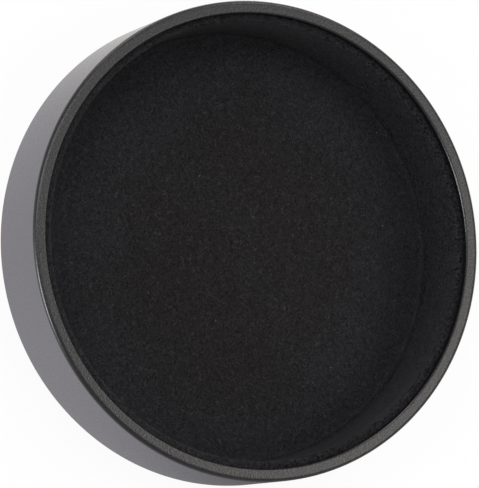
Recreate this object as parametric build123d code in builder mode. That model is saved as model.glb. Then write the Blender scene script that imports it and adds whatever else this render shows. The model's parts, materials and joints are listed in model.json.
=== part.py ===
"""Slip-on metal lens cap with a felt lining: a turned aluminium shell, a felt disc and a felt band.

Units are millimetres. The closed face lies on Z = 0, the mouth opens towards +Z, and Z is the cap's axis.
Each turned or bent piece is one section, drawn with its radius along the sketch's X and its height along the
sketch's Y, and spun about the axis.
"""
import math
import os

from build123d import *

os.makedirs("parts", exist_ok=True)

# What the cap slides over, and how closely the felt goes round it
lens_front_diameter = 54.0
lens_front_clearance = 0.2

# Felt lining: a strip round the wall and a disc on the floor
band_thickness = 1.0
band_setback = 0.9
band_edge_radius = 0.4
band_butt_gap = 0.05
disc_thickness = 0.8
disc_clearance = 0.2

# Turned shell
wall_thickness = 1.6
end_plate_thickness = 1.6
overall_height = 12.3
rim_outer_radius = 0.55
rim_inner_chamfer = 0.18
closed_face_chamfer = 0.3

# Sizes that follow from the ones above
felt_bore_radius = lens_front_diameter / 2 + lens_front_clearance
shell_bore_radius = felt_bore_radius + band_thickness
outer_radius = shell_bore_radius + wall_thickness
disc_radius = shell_bore_radius - disc_clearance
disc_top = end_plate_thickness + disc_thickness
band_top = overall_height - band_setback


def corner(section, radius, height):
    """The section's corner at that radius and height."""
    return section.vertices().sort_by_distance((radius, height))[0]


# Turned shell: end plate and wall in one section, with the rim rounded outside and the other edges broken
with BuildPart() as cap_shell:
    with BuildSketch(Plane.XZ) as shell_section:
        with BuildLine() as shell_outline:
            Polyline(
                (0, 0),
                (outer_radius, 0),
                (outer_radius, overall_height),
                (shell_bore_radius, overall_height),
                (shell_bore_radius, end_plate_thickness),
                (0, end_plate_thickness),
                close=True,
            )
        make_face()
        chamfer(corner(shell_section, outer_radius, 0), length=closed_face_chamfer)
        fillet(corner(shell_section, outer_radius, overall_height), radius=rim_outer_radius)
        chamfer(corner(shell_section, shell_bore_radius, overall_height), length=rim_inner_chamfer)
    revolve(axis=Axis.Z)

cap_shell.part.label = "cap_shell"
export_step(cap_shell.part, "parts/cap_shell.step")


# Felt disc, flat on the floor and cut to drop in easily
with BuildPart() as felt_disc:
    with BuildSketch(Plane.XY.offset(end_plate_thickness)) as disc_outline:
        Circle(disc_radius)
    extrude(amount=disc_thickness)

felt_disc.part.label = "felt_disc"
export_step(felt_disc.part, "parts/felt_disc.step")


# Felt band: a strip that stands on the disc's edge, bent round the bore until its ends nearly meet at -Y. Its upper
# inner edge is rounded, where the lens front goes in.
butt_angle = math.degrees(band_butt_gap / felt_bore_radius)
strip_start = Plane.XZ.rotated((0, 0, butt_angle / 2 - 90))
with BuildPart() as felt_band:
    with BuildSketch(strip_start) as strip_section:
        with BuildLine() as strip_outline:
            Polyline(
                (felt_bore_radius, disc_top),
                (shell_bore_radius, disc_top),
                (shell_bore_radius, band_top),
                (felt_bore_radius, band_top),
                close=True,
            )
        make_face()
        fillet(corner(strip_section, felt_bore_radius, band_top), radius=band_edge_radius)
    revolve(axis=Axis.Z, revolution_arc=360 - butt_angle)

felt_band.part.label = "felt_band"
export_step(felt_band.part, "parts/felt_band.step")
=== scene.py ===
"""Looks of a slip-on metal lens cap: a turned, black anodised shell with a felt disc and a felt band glued inside.

Everything is in metres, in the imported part's own frame: the closed face lies on Z = 0 and the mouth opens upwards.
"""

import json
import logging
import math
import random
from dataclasses import dataclass
from enum import Enum
from typing import Callable, Iterable, Sequence

import bmesh
import bpy
from mathutils import Matrix, Vector

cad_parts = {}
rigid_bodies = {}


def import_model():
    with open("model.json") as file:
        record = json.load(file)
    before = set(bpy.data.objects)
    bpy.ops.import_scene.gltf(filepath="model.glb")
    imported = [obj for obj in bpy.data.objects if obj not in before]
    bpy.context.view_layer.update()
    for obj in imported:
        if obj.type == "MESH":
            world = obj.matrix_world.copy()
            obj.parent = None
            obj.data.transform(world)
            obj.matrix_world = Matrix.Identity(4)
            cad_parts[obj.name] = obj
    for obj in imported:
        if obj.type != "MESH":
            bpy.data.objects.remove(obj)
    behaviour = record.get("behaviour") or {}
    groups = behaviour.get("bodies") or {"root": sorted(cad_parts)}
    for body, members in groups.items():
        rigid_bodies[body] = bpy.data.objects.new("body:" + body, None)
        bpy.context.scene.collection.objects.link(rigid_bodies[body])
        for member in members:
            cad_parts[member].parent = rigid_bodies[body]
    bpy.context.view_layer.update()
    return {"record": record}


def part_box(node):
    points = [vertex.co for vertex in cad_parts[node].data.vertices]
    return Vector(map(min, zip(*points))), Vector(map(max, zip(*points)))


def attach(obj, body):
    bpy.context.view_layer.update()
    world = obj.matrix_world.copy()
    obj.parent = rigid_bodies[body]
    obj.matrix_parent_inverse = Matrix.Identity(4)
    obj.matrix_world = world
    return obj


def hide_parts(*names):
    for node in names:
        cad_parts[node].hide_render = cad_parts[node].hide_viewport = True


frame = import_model()

LOG = logging.getLogger("lens_cap")
MM = 0.001
BODY = "root"
Colour = Sequence[float] | bpy.types.NodeSocket


class Slot(Enum):
    """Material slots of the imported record."""

    SHELL = "shell"
    FELT = "felt"


class EdgeBreak(Enum):
    """How a turned edge is broken, by the number of flats across it."""

    CHAMFER = 1
    ROUND = 8


def deselect_all() -> None:
    """Leaves object mode with nothing selected."""
    if bpy.context.object and bpy.context.object.mode != "OBJECT":
        bpy.ops.object.mode_set(mode="OBJECT")
    bpy.ops.object.select_all(action="DESELECT")


def edit(piece: bpy.types.Object, select_mode: str) -> bmesh.types.BMesh:
    """Opens a piece in edit mode with nothing selected.

    Args:
        piece: The mesh object to open.
        select_mode: VERT, EDGE or FACE.

    Returns:
        The piece's edit mesh.
    """
    deselect_all()
    piece.select_set(True)
    bpy.context.view_layer.objects.active = piece
    bpy.ops.object.mode_set(mode="EDIT")
    bpy.ops.mesh.select_mode(type=select_mode)
    bpy.ops.mesh.select_all(action="DESELECT")
    return bmesh.from_edit_mesh(piece.data)


def pick(piece: bpy.types.Object, parts: Iterable, wanted: Callable[[object], bool]) -> int:
    """Selects the vertices, edges or faces that a test accepts.

    Args:
        piece: The mesh object that is open in edit mode.
        parts: The edit mesh's vertices, edges or faces.
        wanted: The test.

    Returns:
        How many were selected.
    """
    count = 0
    for part in parts:
        if wanted(part):
            part.select_set(True)
            count += 1
    bmesh.update_edit_mesh(piece.data)
    return count


def apply_modifier(piece: bpy.types.Object, kind: str, **settings: object) -> None:
    """Adds a modifier to a piece, sets it and applies it.

    Args:
        piece: The mesh object.
        kind: The modifier's type.
        **settings: Its properties.
    """
    deselect_all()
    piece.select_set(True)
    bpy.context.view_layer.objects.active = piece
    modifier = piece.modifiers.new(kind.lower(), kind)
    for name, value in settings.items():
        setattr(modifier, name, value)
    bpy.ops.object.modifier_apply(modifier=modifier.name)


def place_at_origin(piece: bpy.types.Object) -> None:
    """Puts a piece's place, turn and scale into its mesh.

    Args:
        piece: The mesh object.
    """
    deselect_all()
    piece.select_set(True)
    bpy.context.view_layer.objects.active = piece
    bpy.ops.object.transform_apply(location=True, rotation=True, scale=True)


def face_outwards(piece: bpy.types.Object, merge: float) -> None:
    """Merges a piece's doubled vertices and points its faces outwards.

    Args:
        piece: The mesh object.
        merge: Distance under which vertices are merged, in metres.
    """
    edit(piece, "VERT")
    bpy.ops.mesh.select_all(action="SELECT")
    bpy.ops.mesh.remove_doubles(threshold=merge)
    bpy.ops.mesh.normals_make_consistent(inside=False)
    bpy.ops.object.mode_set(mode="OBJECT")


def smooth(piece: bpy.types.Object, angle_deg: float) -> None:
    """Shades a piece smooth, apart from its sharp edges.

    Args:
        piece: The mesh object.
        angle_deg: The angle past which an edge stays sharp, in degrees.
    """
    deselect_all()
    piece.select_set(True)
    bpy.context.view_layer.objects.active = piece
    bpy.ops.object.shade_smooth_by_angle(angle=math.radians(angle_deg))


class Nodes:
    """Short way to write a material's node tree."""

    def __init__(self, name: str) -> None:
        """Makes an empty material.

        Args:
            name: The material's name.
        """
        self.material = bpy.data.materials.new(name)
        self.material.use_nodes = True
        self.tree = self.material.node_tree
        self.tree.nodes.clear()

    def add(self, kind: str, inputs: dict | None = None, **settings: object) -> bpy.types.Node:
        """Adds a node.

        Args:
            kind: The node's type, without the ShaderNode in front.
            inputs: Socket names or numbers, each with a value or with an output socket to link.
            **settings: The node's own properties.

        Returns:
            The node.
        """
        node = self.tree.nodes.new("ShaderNode" + kind)
        for name, value in settings.items():
            setattr(node, name, value)
        for socket, value in (inputs or {}).items():
            if isinstance(value, bpy.types.NodeSocket):
                self.tree.links.new(value, node.inputs[socket])
            else:
                node.inputs[socket].default_value = value
        return node

    def noise(
        self, where: bpy.types.NodeSocket, size: float, detail: float = 2.0, curl: float = 0.0
    ) -> bpy.types.NodeSocket:
        """Adds a noise pattern.

        Args:
            where: The coordinates, in metres.
            size: The rough size of one lump, in metres.
            detail: How many finer layers it has.
            curl: How far its lumps are drawn out and curled.

        Returns:
            The noise's factor.
        """
        settings = {"Vector": where, "Scale": 1 / size, "Detail": detail, "Roughness": 0.6, "Distortion": curl}
        return self.add("TexNoise", settings).outputs["Fac"]

    def spread(self, value: bpy.types.NodeSocket, low: float, high: float) -> bpy.types.NodeSocket:
        """Maps a noise's middle range onto low to high.

        Args:
            value: The noise's factor.
            low: What its low end gives.
            high: What its high end gives.

        Returns:
            The mapped value.
        """
        node = self.add("MapRange", {"Value": value, "From Min": 0.3, "From Max": 0.7, "To Min": low, "To Max": high})
        return node.outputs["Result"]

    def between(self, factor: bpy.types.NodeSocket, dark: Colour, light: Colour) -> bpy.types.NodeSocket:
        """Mixes two colours.

        Args:
            factor: 0 for the dark colour, 1 for the light one.
            dark: Red, green and blue, or an output socket.
            light: Red, green and blue, or an output socket.

        Returns:
            The mixed colour.
        """
        ends = {6: dark, 7: light}
        inputs = {k: c if isinstance(c, bpy.types.NodeSocket) else (*c, 1.0) for k, c in ends.items()}
        return self.add("Mix", {0: factor, **inputs}, data_type="RGBA").outputs[2]

    def bump(
        self,
        height: bpy.types.NodeSocket,
        depth: float | bpy.types.NodeSocket,
        below: bpy.types.NodeSocket | None = None,
    ) -> bpy.types.NodeSocket:
        """Turns a height pattern into a bumped normal.

        Args:
            height: The pattern, from 0 to 1.
            depth: How deep it is, in metres, or an output socket.
            below: Normal of a coarser bump under this one.

        Returns:
            The normal.
        """
        inputs = {"Height": height, "Strength": 1.0, "Distance": depth}
        if below is not None:
            inputs["Normal"] = below
        return self.add("Bump", inputs).outputs["Normal"]

    def finish(self, shader: bpy.types.NodeSocket) -> bpy.types.Material:
        """Links a shader to the output and returns the material."""
        self.add("OutputMaterial", {"Surface": shader})
        return self.material


@dataclass(frozen=True)
class BlackAnodising:
    """Satin black anodised aluminium over fine blasting and turning marks."""

    name: str = "black_anodising"
    dark: tuple[float, float, float] = (0.0025, 0.0024, 0.0028)
    light: tuple[float, float, float] = (0.0055, 0.0052, 0.0061)
    oxide_ior: float = 1.5
    roughness: tuple[float, float] = (0.25, 0.31)
    mottle_size: float = 0.35 * MM
    blasting_size: float = 0.26 * MM
    wall_depth: float = 0.004 * MM
    rim_depth: float = 0.040 * MM
    rim_height: tuple[float, float] = (12.15 * MM, 12.29 * MM)
    turning_size: float = 0.10 * MM
    turning_depth: float = 0.0015 * MM
    turning_run: float = 1.2 * MM

    def material(self) -> bpy.types.Material:
        """Builds the node material.

        Blasting is deeper on the rim's flat than on the wall, and turning marks run round the axis.

        Returns:
            The material.
        """
        n = Nodes(self.name)
        where = n.add("TexCoord").outputs["Object"]
        mottle = n.noise(where, self.mottle_size, 3.0)
        blasting = n.noise(where, self.blasting_size, 3.0)
        split = n.add("SeparateXYZ", {"Vector": where})
        radius = n.add("VectorMath", {0: where}, operation="LENGTH").outputs["Value"]
        angle = n.add("Math", {0: split.outputs["Y"], 1: split.outputs["X"]}, operation="ARCTAN2").outputs["Value"]
        around = n.add("Math", {0: angle, 1: self.turning_run}, operation="MULTIPLY").outputs["Value"]
        rings = n.add("CombineXYZ", {"X": radius, "Y": around, "Z": split.outputs["Z"]}).outputs["Vector"]
        turning = n.noise(rings, self.turning_size, 2.0)
        low, high = self.rim_height
        deepening = {
            "Value": split.outputs["Z"],
            "From Min": low,
            "From Max": high,
            "To Min": self.wall_depth,
            "To Max": self.rim_depth,
        }
        depth = n.add("MapRange", deepening).outputs["Result"]
        normal = n.bump(blasting, depth, n.bump(turning, self.turning_depth))
        shader = n.add(
            "BsdfPrincipled",
            {
                "Base Color": n.between(n.spread(mottle, 0.0, 1.0), self.dark, self.light),
                "Metallic": 0.0,
                "Roughness": n.spread(mottle, *self.roughness),
                "IOR": self.oxide_ior,
                "Normal": normal,
            },
        )
        return n.finish(shader.outputs["BSDF"])


@dataclass(frozen=True)
class BlackFelt:
    """Black wool felt with a short raised nap, browner in its middle and with a few paler fibres."""

    name: str = "black_felt"
    # painted shade: scales every colour of the felt, so that a copy of the same felt can be painted darker
    painted_shade: float = 1.0
    dark: tuple[float, float, float] = (0.0010, 0.0010, 0.0011)
    light: tuple[float, float, float] = (0.0270, 0.0265, 0.0302)
    faded: tuple[float, float, float] = (0.0232, 0.0208, 0.0216)
    faded_reach: tuple[float, float] = (12 * MM, 24 * MM)
    fading_size: float = 12 * MM
    fading_spread: float = 0.4
    contrast: float = 0.0
    fibre: tuple[float, float, float] = (0.0335, 0.0318, 0.0345)
    fibre_bend: float = 0.9 * MM
    fibre_length: float = 0.6 * MM
    fibre_width: float = 0.016
    fibre_curl: float = 0.8
    fibre_kept: tuple[float, float] = (0.50, 0.60)
    fibre_shifts: tuple[float, ...] = (0.0, 5 * MM, 9 * MM)
    nap_size: float = 0.48 * MM
    nap_depth: float = 0.062 * MM
    nap_curl: float = 2.5
    fuzz_size: float = 0.25 * MM
    fuzz_depth: float = 0.034 * MM
    sheen: float = 0.03
    sheen_tint: tuple[float, float, float] = (0.8, 0.8, 0.85)
    # painted light: these three set a pale colour, how much of it is mixed in, and over which Y it grows; it lightens
    # the felt's −Y side that the lamps leave dark
    painted_light: tuple[float, float, float] = (0.20, 0.197, 0.204)
    painted_light_share: float = 0.0
    painted_light_reach: tuple[float, float] = (0.0, -14 * MM)

    def stray_fibres(self, n: Nodes, where: bpy.types.NodeSocket, shift: float) -> bpy.types.NodeSocket:
        """Draws thin curled fibres, as broken contour lines of a noise.

        Args:
            n: The material's nodes.
            where: The coordinates, in metres.
            shift: How far the pattern is shifted, in metres.

        Returns:
            1 on a fibre and 0 elsewhere.
        """
        shifted = n.add("VectorMath", {0: where, 1: (shift, shift, shift)}, operation="ADD").outputs["Vector"]
        path = n.noise(shifted, self.fibre_bend, 1.0, self.fibre_curl)
        off = n.add("Math", {0: path, 1: 0.5}, operation="SUBTRACT").outputs["Value"]
        away = n.add("Math", {0: off}, operation="ABSOLUTE").outputs["Value"]
        line = n.add("MapRange", {"Value": away, "From Min": self.fibre_width, "From Max": 0.0}).outputs["Result"]
        piece = n.noise(shifted, self.fibre_length, 0.0)
        low, high = self.fibre_kept
        kept = n.add("MapRange", {"Value": piece, "From Min": low, "From Max": high}).outputs["Result"]
        return n.add("Math", {0: line, 1: kept}, operation="MULTIPLY").outputs["Value"]

    def paint_near_side_light(
        self, n: Nodes, where: bpy.types.NodeSocket, colour: bpy.types.NodeSocket
    ) -> bpy.types.NodeSocket:
        """Paints light onto the felt's −Y side: a pale colour mixed in more and more from Y = 0 towards −Y,
        lightening the side that the lamps leave dark.

        Args:
            n: The material's nodes.
            where: The coordinates, in metres.
            colour: The felt's colour without the painted light.

        Returns:
            The colour with the painted light.
        """
        unpainted_from, fully_painted_at = self.painted_light_reach
        across = n.add("SeparateXYZ", {"Vector": where}).outputs["Y"]
        reach = {"Value": across, "From Min": unpainted_from, "From Max": fully_painted_at, "To Max": self.painted_light_share}
        return n.between(n.add("MapRange", reach).outputs["Result"], colour, self.painted_light)

    def material(self) -> bpy.types.Material:
        """Builds the node material.

        Returns:
            The material.
        """
        n = Nodes(self.name)
        where = n.add("TexCoord").outputs["Object"]
        nap = n.noise(where, self.nap_size, 3.0, self.nap_curl)
        fuzz = n.noise(where, self.fuzz_size, 3.0)
        both = n.add("Math", {0: nap, 1: fuzz}, operation="ADD").outputs["Value"]
        half = n.add("Math", {0: both, 1: 0.5}, operation="MULTIPLY").outputs["Value"]
        # painted shade: every colour is scaled by the same factor
        dark, light, faded, fibre = (
            [self.painted_shade * c for c in colour] for colour in (self.dark, self.light, self.faded, self.fibre)
        )
        radius = n.add("VectorMath", {0: where}, operation="LENGTH").outputs["Value"]
        near, far = self.faded_reach
        inner = n.add("MapRange", {"Value": radius, "From Min": far, "From Max": near}).outputs["Result"]
        uneven = n.spread(n.noise(where, self.fading_size), -self.fading_spread, self.fading_spread)
        fading = n.add("Math", {0: inner, 1: uneven}, operation="ADD", use_clamp=True).outputs["Value"]
        wool = n.between(fading, light, faded)
        ground = n.between(n.spread(half, -self.contrast, 1 + self.contrast), dark, wool)
        first, *others = (self.stray_fibres(n, where, shift) for shift in self.fibre_shifts)
        on_fibre = first
        for stray in others:
            on_fibre = n.add("Math", {0: on_fibre, 1: stray}, operation="MAXIMUM").outputs["Value"]
        colour = n.between(on_fibre, ground, fibre)
        # painted light on the felt's −Y side, only where a share of it is set
        if self.painted_light_share:
            colour = self.paint_near_side_light(n, where, colour)
        shader = n.add(
            "BsdfPrincipled",
            {
                "Base Color": colour,
                "Roughness": 1.0,
                "IOR": 1.4,
                "Specular IOR Level": 0.1,
                "Sheen Weight": self.sheen,
                "Sheen Roughness": 0.6,
                "Sheen Tint": (*self.sheen_tint, 1.0),
                "Normal": n.bump(fuzz, self.fuzz_depth, n.bump(nap, self.nap_depth)),
            },
        )
        return n.finish(shader.outputs["BSDF"])


@dataclass(frozen=True)
class PaleLint:
    """Grey-white lint grains and fibre ends."""

    name: str = "pale_lint"
    colour: tuple[float, float, float] = (0.22, 0.215, 0.21)

    def material(self) -> bpy.types.Material:
        """Builds the node material."""
        n = Nodes(self.name)
        inputs = {"Base Color": (*self.colour, 1.0), "Roughness": 1.0, "Specular IOR Level": 0.1}
        shader = n.add("BsdfPrincipled", inputs)
        return n.finish(shader.outputs["BSDF"])


def dress(piece: bpy.types.Object, finish: bpy.types.Material, node: str | None = None) -> None:
    """Gives a piece its finish, lets it ride on the body, and puts it in a CAD node's place if it has one.

    Args:
        piece: The finished mesh object.
        finish: Its material.
        node: The CAD node that it stands for.
    """
    piece.data.materials.clear()
    piece.data.materials.append(finish)
    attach(piece, BODY)
    if node is not None:
        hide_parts(node)
    LOG.info("%s: %d faces", piece.name, len(piece.data.polygons))


@dataclass
class TurnedShell:
    """The one-piece metal shell: end plate, wall and rim."""

    outer_radius: float
    bore_radius: float
    height: float
    end_plate: float
    rim_outer_radius: float = 0.55 * MM
    rim_inner_chamfer: float = 0.18 * MM
    closed_face_chamfer: float = 0.3 * MM
    burr_radius: float = 0.025 * MM
    burr_angle_deg: float = 30
    edge_support: float = 0.02 * MM
    sharp_angle_deg: float = 40
    facets: int = 384

    def break_edge(
        self, shell: bpy.types.Object, radius: float, height: float, size: float, kind: EdgeBreak
    ) -> None:
        """Bevels one of the shell's round edges.

        Args:
            shell: The shell's object.
            radius: The edge's radius.
            height: The edge's height.
            size: How far the bevel reaches along each side.
            kind: A flat chamfer or a round.
        """
        near = 0.02 * MM
        mesh = edit(shell, "EDGE")
        found = pick(
            shell,
            mesh.edges,
            lambda e: all(
                abs(v.co.xy.length - radius) < near and abs(v.co.z - height) < near for v in e.verts
            ),
        )
        if found != self.facets:
            raise ValueError(f"the edge at radius {radius} and height {height} has {found} segments")
        bpy.ops.mesh.bevel(offset=size, offset_type="OFFSET", segments=kind.value, profile=0.5, affect="EDGES")
        bpy.ops.object.mode_set(mode="OBJECT")

    def build(self) -> bpy.types.Object:
        """Turns the shell from a bar end: face, bore, then broken edges.

        Returns:
            The shell.
        """
        deselect_all()
        bpy.ops.mesh.primitive_cylinder_add(
            vertices=self.facets,
            radius=self.outer_radius,
            depth=self.height,
            end_fill_type="NGON",
            location=(0, 0, self.height / 2),
        )
        shell = bpy.context.object
        shell.name = "shell"
        place_at_origin(shell)
        mesh = edit(shell, "FACE")
        pick(shell, mesh.faces, lambda f: f.normal.z > 0.9)
        bpy.ops.mesh.inset(thickness=self.outer_radius - self.bore_radius)
        bpy.ops.mesh.extrude_region_move(
            TRANSFORM_OT_translate={"value": (0, 0, self.end_plate - self.height)}
        )
        bpy.ops.object.mode_set(mode="OBJECT")
        self.break_edge(shell, self.outer_radius, 0.0, self.closed_face_chamfer, EdgeBreak.CHAMFER)
        self.break_edge(shell, self.outer_radius, self.height, self.rim_outer_radius, EdgeBreak.ROUND)
        self.break_edge(shell, self.bore_radius, self.height, self.rim_inner_chamfer, EdgeBreak.CHAMFER)
        apply_modifier(
            shell,
            "BEVEL",
            width=self.burr_radius,
            segments=2,
            limit_method="ANGLE",
            angle_limit=math.radians(self.burr_angle_deg),
        )
        mesh = edit(shell, "FACE")
        pick(shell, mesh.faces, lambda f: abs(f.normal.z) > 0.999 or abs(f.normal.z) < 0.001)
        bpy.ops.mesh.inset(thickness=self.edge_support, use_individual=False)
        bpy.ops.object.mode_set(mode="OBJECT")
        face_outwards(shell, 0.001 * MM)
        smooth(shell, self.sharp_angle_deg)
        return shell


@dataclass
class FeltLining:
    """The felt disc on the floor and the felt band round the wall."""

    disc_radius: float
    disc_bottom: float
    disc_top: float
    bore_radius: float
    band_radius: float
    band_top: float
    cell: float = 0.18 * MM
    nap_lump: float = 0.5 * MM
    nap_height: float = 0.08 * MM
    nap_middle: float = 0.6
    blend_radius: float = 0.9 * MM
    butt_gap: float = 0.05 * MM
    edge_radius: float = 0.4 * MM
    edge_flats: int = 4

    def swell(self, piece: bpy.types.Object, from_corner: Callable[[Vector], float], direction: str) -> None:
        """Swells the felt towards the corner in which the disc and the band meet, so that the corner is soft.

        Args:
            piece: The felt piece.
            from_corner: Gives a point's distance from the corner along the felt's open face, or a negative number
                where the felt isn't open.
            direction: The way in which it swells: Z or NORMAL.
        """
        most = self.blend_radius * (1 - math.sqrt(0.5))
        group = piece.vertex_groups.new(name="swell")
        for vertex in piece.data.vertices:
            away = from_corner(vertex.co)
            if not 0 < away < self.blend_radius:
                continue
            side = self.blend_radius - away
            rise = self.blend_radius - math.sqrt(self.blend_radius**2 - side**2)
            group.add([vertex.index], min(rise, away) / most, "REPLACE")
        apply_modifier(piece, "DISPLACE", vertex_group="swell", direction=direction, strength=most, mid_level=0)

    def raise_nap(self, piece: bpy.types.Object, where: Callable[[Vector], bool]) -> None:
        """Raises the felt's surface into an uneven nap.

        Args:
            piece: The felt piece.
            where: Says which vertices are raised.
        """
        group = piece.vertex_groups.new(name="nap")
        group.add([v.index for v in piece.data.vertices if where(v.co)], 1.0, "REPLACE")
        lumps = bpy.data.textures.new("nap", "CLOUDS")
        lumps.noise_scale = self.nap_lump
        lumps.noise_depth = 2
        apply_modifier(
            piece,
            "DISPLACE",
            texture=lumps,
            texture_coords="LOCAL",
            vertex_group="nap",
            strength=self.nap_height,
            mid_level=self.nap_middle,
        )

    def build_disc(self) -> bpy.types.Object:
        """Cuts the disc from a fine grid and gives it its thickness.

        Returns:
            The disc.
        """
        deselect_all()
        cells = math.ceil(2 * self.disc_radius / self.cell)
        bpy.ops.mesh.primitive_grid_add(
            x_subdivisions=cells, y_subdivisions=cells, size=2 * self.disc_radius, location=(0, 0, self.disc_top)
        )
        disc = bpy.context.object
        disc.name = "disc"
        place_at_origin(disc)
        mesh = edit(disc, "FACE")
        pick(disc, mesh.faces, lambda f: f.calc_center_median().xy.length > self.disc_radius - 0.5 * self.cell)
        bpy.ops.mesh.delete(type="FACE")
        mesh = edit(disc, "EDGE")
        for vertex in mesh.verts:
            if vertex.is_boundary:
                vertex.co.xy = vertex.co.xy.normalized() * self.disc_radius
        pick(disc, mesh.edges, lambda e: e.is_boundary)
        bpy.ops.mesh.extrude_region_move(
            TRANSFORM_OT_translate={"value": (0, 0, self.disc_bottom - self.disc_top)}
        )
        bpy.ops.mesh.edge_face_add()
        bpy.ops.object.mode_set(mode="OBJECT")
        face_outwards(disc, 0.001 * MM)
        open_side = self.disc_top - 0.1 * MM
        self.swell(disc, lambda p: self.bore_radius - p.xy.length if p.z > open_side else -1.0, "Z")
        self.raise_nap(disc, lambda p: p.z > open_side and p.xy.length < self.bore_radius)
        smooth(disc, 180)
        return disc

    def build_band(self) -> bpy.types.Object:
        """Stands a strip's section up, divides its open sides finely and spins it round the bore.

        Returns:
            The band.
        """
        deselect_all()
        thickness = self.band_radius - self.bore_radius
        tall = self.band_top - self.disc_top
        bpy.ops.mesh.primitive_plane_add(size=1, location=(0, 0, 0))
        band = bpy.context.object
        band.name = "band"
        band.scale = (thickness, tall, 1)
        band.rotation_euler = (math.radians(90), 0, 0)
        band.location = (self.bore_radius + thickness / 2, 0, self.disc_top + tall / 2)
        place_at_origin(band)
        near = 0.01 * MM
        mesh = edit(band, "VERT")
        pick(band, mesh.verts, lambda v: (v.co - Vector((self.bore_radius, 0, self.band_top))).length < near)
        bpy.ops.mesh.bevel(
            offset=self.edge_radius, offset_type="OFFSET", segments=self.edge_flats, profile=0.5, affect="VERTICES"
        )
        mesh = edit(band, "EDGE")
        pick(band, mesh.edges, lambda e: all(abs(v.co.x - self.bore_radius) < near for v in e.verts))
        bpy.ops.mesh.subdivide(number_cuts=round(tall / self.cell))
        mesh = edit(band, "EDGE")
        pick(band, mesh.edges, lambda e: all(abs(v.co.z - self.band_top) < near for v in e.verts))
        bpy.ops.mesh.subdivide(number_cuts=round(thickness / self.cell))
        mesh = edit(band, "VERT")
        half_gap = math.degrees(self.butt_gap / self.bore_radius) / 2
        bpy.ops.mesh.select_all(action="SELECT")
        steps = round(2 * math.pi * self.bore_radius / self.cell)
        bpy.ops.mesh.spin(
            steps=steps, angle=math.radians(360 - 2 * half_gap), center=(0, 0, 0), axis=(0, 0, 1), dupli=False
        )
        bpy.ops.object.mode_set(mode="OBJECT")
        band.data.transform(Matrix.Rotation(math.radians(-90 + half_gap), 4, "Z"))
        face_outwards(band, 0.001 * MM)
        inner = self.bore_radius + 0.5 * self.cell
        self.swell(band, lambda p: p.z - self.disc_top if p.xy.length < inner else -1.0, "NORMAL")
        outer = self.band_radius - 0.5 * self.cell
        self.raise_nap(band, lambda p: p.xy.length < outer and p.z > self.disc_top + 0.5 * self.cell)
        smooth(band, 180)
        return band


@dataclass
class Lint:
    """A few grains of pale lint caught in the felt, where the photograph shows them."""

    on_floor: tuple[tuple[float, float], ...] = (
        (-9.67, 23.86),
        (-9.66, -1.71),
        (-6.06, 13.32),
        (-2.32, 17.67),
        (2.09, 21.43),
        (17.90, 9.37),
        (19.13, 6.42),
        (8.44, -4.45),
    )
    on_band: tuple[tuple[float, float], ...] = ((125.4, 4.95), (128.4, 9.01), (124.9, 8.83), (65.0, 7.36))
    floor_height: float = 2.4 * MM
    bore_radius: float = 27.2 * MM
    grain: float = 0.05 * MM
    grain_shape: tuple[float, float, float] = (1.5, 0.8, 0.7)
    seed: int = 7

    def build(self) -> bpy.types.Object:
        """Shapes one grain, copies it to every place and joins the copies.

        Returns:
            The grains as one piece.
        """
        deselect_all()
        bpy.ops.mesh.primitive_ico_sphere_add(subdivisions=2, radius=self.grain)
        lint = bpy.context.object
        lint.name = "lint"
        lint.scale = self.grain_shape
        place_at_origin(lint)
        turns = random.Random(self.seed)
        places = [Vector((x * MM, y * MM, self.floor_height + self.grain)) for x, y in self.on_floor]
        for degrees, height in self.on_band:
            inside = self.bore_radius - self.grain
            angle = math.radians(degrees)
            places.append(Vector((inside * math.cos(angle), inside * math.sin(angle), height * MM)))
        for place in places[1:]:
            deselect_all()
            lint.select_set(True)
            bpy.context.view_layer.objects.active = lint
            bpy.ops.object.duplicate()
            copy = bpy.context.object
            copy.location = place
            copy.rotation_euler = [turns.uniform(0, math.pi) for _ in range(3)]
            place_at_origin(copy)
            copy.select_set(True)
        deselect_all()
        lint.location = places[0]
        place_at_origin(lint)
        for grain in bpy.context.scene.objects:
            grain.select_set(grain.name.startswith("lint"))
        bpy.context.view_layer.objects.active = lint
        bpy.ops.object.join()
        smooth(lint, 180)
        return lint


@dataclass(frozen=True)
class Panel:
    """A square soft light that faces the cap, placed like a star: by azimuth from +X and by elevation."""

    azimuth_deg: float
    elevation_deg: float
    power: float
    distance: float = 1.2
    size: float = 0.45
    warmth: float = 0.0

    @property
    def place(self) -> Vector:
        """Where its middle stands."""
        azimuth, elevation = math.radians(self.azimuth_deg), math.radians(self.elevation_deg)
        flat = math.cos(elevation)
        return self.distance * Vector((flat * math.cos(azimuth), flat * math.sin(azimuth), math.sin(elevation)))

    @property
    def colour(self) -> tuple[float, float, float]:
        """Its colour: warmth takes away a little green and more blue."""
        return 1.0, 1.0 - self.warmth, 1.0 - 1.8 * self.warmth


@dataclass(frozen=True)
class Glow:
    """A soft glow on one side of the paper round the cap, placed by azimuth from +X."""

    azimuth_deg: float
    strength: float
    tint: tuple[float, float, float] = (0.990, 0.962, 1.040)


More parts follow.
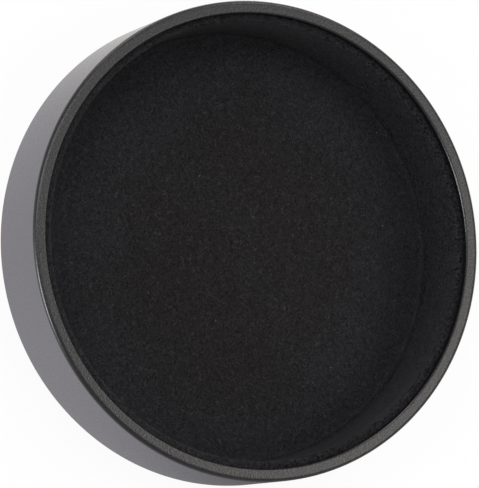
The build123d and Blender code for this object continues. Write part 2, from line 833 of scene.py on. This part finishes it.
@dataclass
class Studio:
    """Pale floor, soft light and the camera."""

    look_at: tuple[float, float, float] = (-0.000149, -0.003091, 0.0123)
    distance: float = 0.436814
    elevation_deg: float = 65.9243
    roll_deg: float = 75.7334
    lens_mm: float = 262.6082
    sensor_mm: float = 36.0
    floor_size: float = 4.0
    paper: tuple[float, float, float] = (0.8, 0.8, 0.8)
    whiteness: float = 0.92
    surroundings: float = 0.528
    glow_reach: tuple[float, float] = (53 * MM, 57 * MM)
    glow_sharpness: float = 2.0
    glows: tuple[Glow, ...] = (
        Glow(0, 0.20),
        Glow(135, 1.0, tint=(1.06, 1.005, 0.88)),
        Glow(180, 0.95, tint=(1.012, 0.982, 1.006)),
        Glow(270, 1.327),
        Glow(315, 0.137),
    )
    panels: tuple[Panel, ...] = (
        Panel(180, 12, 1.92),
        Panel(270, 12, 8.86),
        Panel(135, 32, 2.78),
        Panel(225, 52, 2.85),
        Panel(45, 52, 1.82, warmth=0.03),
        Panel(90, 52, 1.03, warmth=0.03),
        Panel(180, 70, 2.35),
        Panel(70, 60, 0.165, distance=0.4, size=0.12, warmth=0.06),
        Panel(100, 72, 0.023, distance=0.4, size=0.12),
    )

    def add_camera(self) -> None:
        """Sets the camera at the photograph's angle."""
        data = bpy.data.cameras.new("camera")
        data.lens = self.lens_mm
        data.sensor_width = self.sensor_mm
        data.clip_start, data.clip_end = 0.01, 20
        camera = bpy.data.objects.new("camera", data)
        bpy.context.scene.collection.objects.link(camera)
        tilt = math.radians(90 - self.elevation_deg)
        turned = Matrix.Rotation(tilt, 4, "X") @ Matrix.Rotation(math.radians(self.roll_deg), 4, "Z")
        back = Matrix.Rotation(tilt, 3, "X") @ Vector((0, 0, self.distance))
        camera.matrix_world = Matrix.Translation(Vector(self.look_at) + back) @ turned
        bpy.context.scene.camera = camera

    def add_light(self, panel: Panel) -> None:
        """Adds a soft area light that faces the cap.

        Args:
            panel: The light's place, power and colour.
        """
        data = bpy.data.lights.new("panel", "AREA")
        data.size = panel.size
        data.energy = panel.power
        data.color = panel.colour
        lamp = bpy.data.objects.new("panel", data)
        bpy.context.scene.collection.objects.link(lamp)
        lamp.location = panel.place
        lamp.rotation_euler = (-panel.place).to_track_quat("-Z", "Y").to_euler()

    def floor_finish(self) -> bpy.types.Material:
        """White paper, which reflections near the cap show as a few soft glows.

        Returns:
            The floor's material.
        """
        n = Nodes("pale_floor")
        path = n.add("LightPath")
        paper = n.add("BsdfDiffuse", {"Color": (*self.paper, 1.0)}).outputs["BSDF"]
        where = n.add("TexCoord").outputs["Object"]
        outwards = n.add("VectorMath", {0: where}, operation="NORMALIZE").outputs["Vector"]
        glowing = None
        for glow in self.glows:
            azimuth = math.radians(glow.azimuth_deg)
            side = (math.cos(azimuth), math.sin(azimuth), 0)
            along = n.add("VectorMath", {0: outwards, 1: side}, operation="DOT_PRODUCT").outputs["Value"]
            facing = n.add("Math", {0: along, 1: 0.0}, operation="MAXIMUM").outputs["Value"]
            lobe = n.add("Math", {0: facing, 1: self.glow_sharpness}, operation="POWER").outputs["Value"]
            level = n.add("Math", {0: lobe, 1: glow.strength}, operation="MULTIPLY").outputs["Value"]
            light = n.add("Emission", {"Color": (*glow.tint, 1.0), "Strength": level}).outputs["Emission"]
            glowing = light if glowing is None else n.add("AddShader", {0: glowing, 1: light}).outputs["Shader"]
        radius = n.add("VectorMath", {0: where}, operation="LENGTH").outputs["Value"]
        near, far = self.glow_reach
        away = n.add("MapRange", {"Value": radius, "From Min": near, "From Max": far}).outputs["Result"]
        mirrored = n.add("MixShader", {0: away, 1: glowing, 2: paper}).outputs["Shader"]
        in_gloss = n.add("MixShader", {0: path.outputs["Is Glossy Ray"], 1: paper, 2: mirrored}).outputs["Shader"]
        white = n.add("Emission", {"Color": (1.0, 1.0, 1.0, 1.0), "Strength": 1.0}).outputs["Emission"]
        seen = n.add("Math", {0: path.outputs["Is Camera Ray"], 1: self.whiteness}, operation="MULTIPLY")
        shader = n.add("MixShader", {0: seen.outputs["Value"], 1: in_gloss, 2: white})
        return n.finish(shader.outputs["Shader"])

    def build(self) -> None:
        """Adds the floor, the lights, the world and the camera."""
        deselect_all()
        bpy.ops.mesh.primitive_plane_add(size=self.floor_size, location=(0, 0, 0))
        floor = bpy.context.object
        floor.name = "floor"
        floor.data.materials.append(self.floor_finish())
        world = bpy.data.worlds.new("world")
        bpy.context.scene.world = world
        world.use_nodes = True
        sky = world.node_tree.nodes["Background"].inputs
        sky["Color"].default_value = (*[self.surroundings] * 3, 1.0)
        sky["Strength"].default_value = 1.0
        for panel in self.panels:
            self.add_light(panel)
        self.add_camera()
        bpy.context.scene.view_settings.view_transform = "Standard"


def main() -> None:
    """Builds the cap's pieces and the studio round them."""
    logging.basicConfig(level=logging.INFO, format="%(name)s: %(message)s")
    _, shell_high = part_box("cap_shell")
    disc_low, disc_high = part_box("felt_disc")
    _, band_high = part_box("felt_band")
    bores = {mount["name"]: mount["dims"].get("r_mm") for mount in frame["record"]["mounts"]}
    shell_maker = TurnedShell(
        outer_radius=shell_high.x, bore_radius=band_high.x, height=shell_high.z, end_plate=disc_low.z
    )
    lining = FeltLining(
        disc_radius=disc_high.x,
        disc_bottom=disc_low.z,
        disc_top=disc_high.z,
        bore_radius=bores["lens_bore"] * MM,
        band_radius=band_high.x,
        band_top=band_high.z,
    )

    shell = shell_maker.build()
    dress(shell, BlackAnodising().material(), "cap_shell")
    disc = lining.build_disc()
    dress(disc, BlackFelt().material(), "felt_disc")
    band = lining.build_band()
    band_felt = BlackFelt(
        name="black_felt_band",
        # painted shade: the band is the same felt painted darker, for the dimmer look of its upright face
        painted_shade=0.66,
        contrast=0.8,
        nap_size=0.60 * MM,
        nap_depth=0.12 * MM,
        fuzz_size=0.30 * MM,
        # painted light: the band is lightened on its −Y side
        painted_light_share=0.027,
    )
    dress(band, band_felt.material(), "felt_band")
    lint = Lint(floor_height=lining.disc_top, bore_radius=lining.bore_radius).build()
    dress(lint, PaleLint().material())

    Studio().build()


if __name__ == "__main__":
    main()
